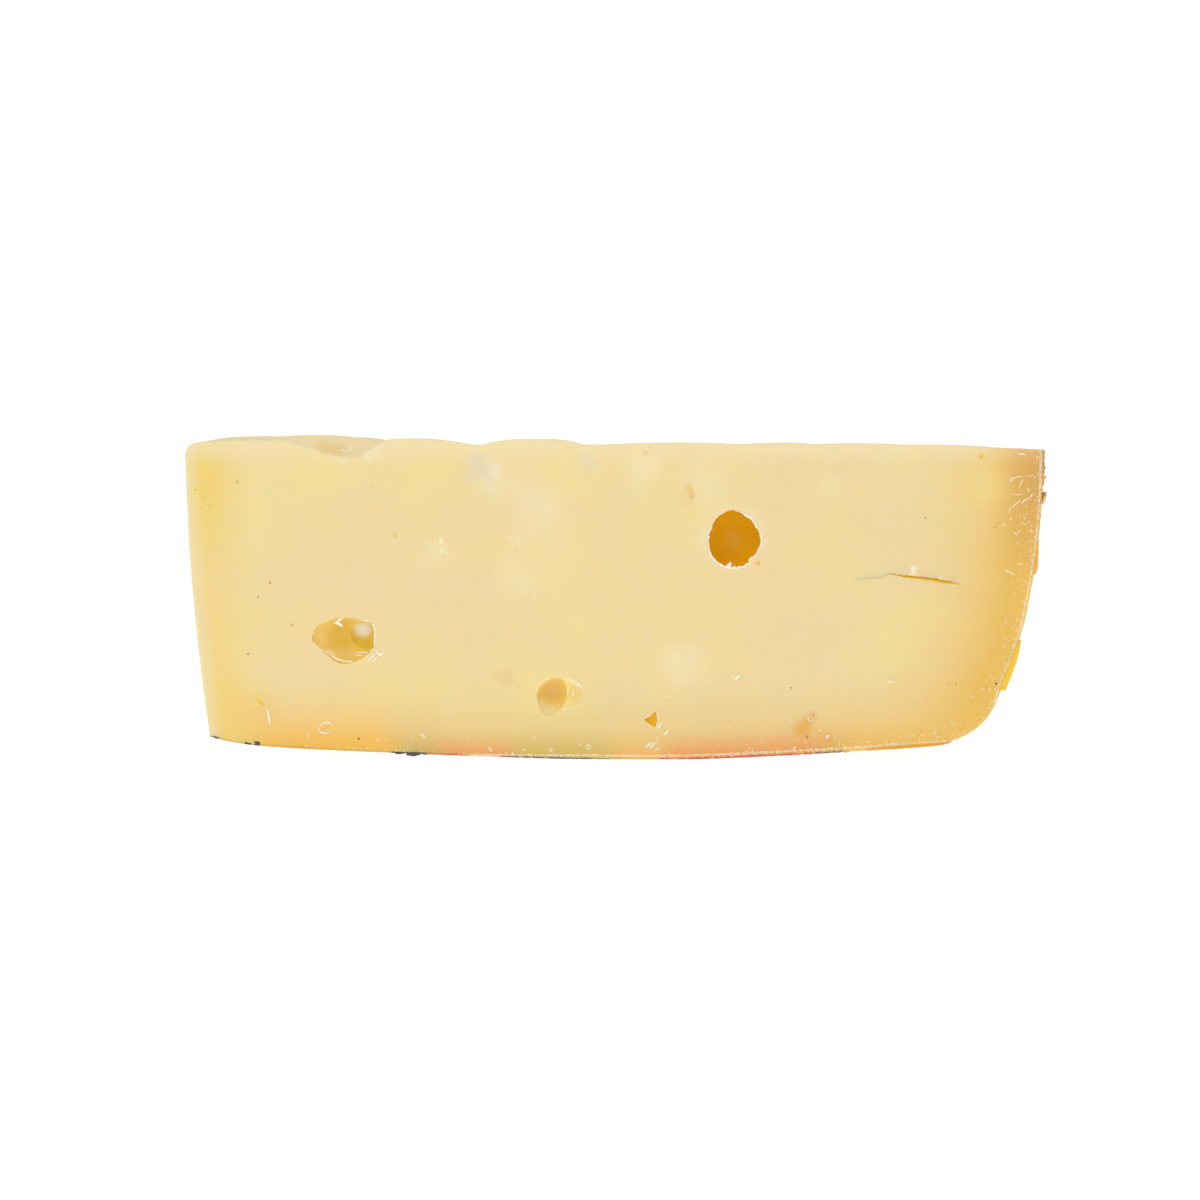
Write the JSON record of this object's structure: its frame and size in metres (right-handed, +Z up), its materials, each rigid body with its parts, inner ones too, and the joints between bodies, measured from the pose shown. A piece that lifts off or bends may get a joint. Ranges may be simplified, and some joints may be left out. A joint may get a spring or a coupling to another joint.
{
  "type": "cheese wedge",
  "caption": "Wedge of eyed semi-hard cheese cut from the lower half of a wheel, with a thin coated rind",
  "frame": {"origin": "middle of the bounding box's base, which is the level the piece rests on", "axes": "+X from the pointed end to the rind, -Y out of the front cut face, +Z up out of the level cut"},
  "size_m": [0.1718, 0.0784, 0.0646],
  "materials": {
    "cheese_paste": "smooth, moist, slightly translucent cut paste",
    "rind_coating": "thin satin plastic rind coating with worn colour fields"
  },
  "bodies": {
    "root": {"cheese_wedge": "cheese_paste"}
  },
  "joints": []
}
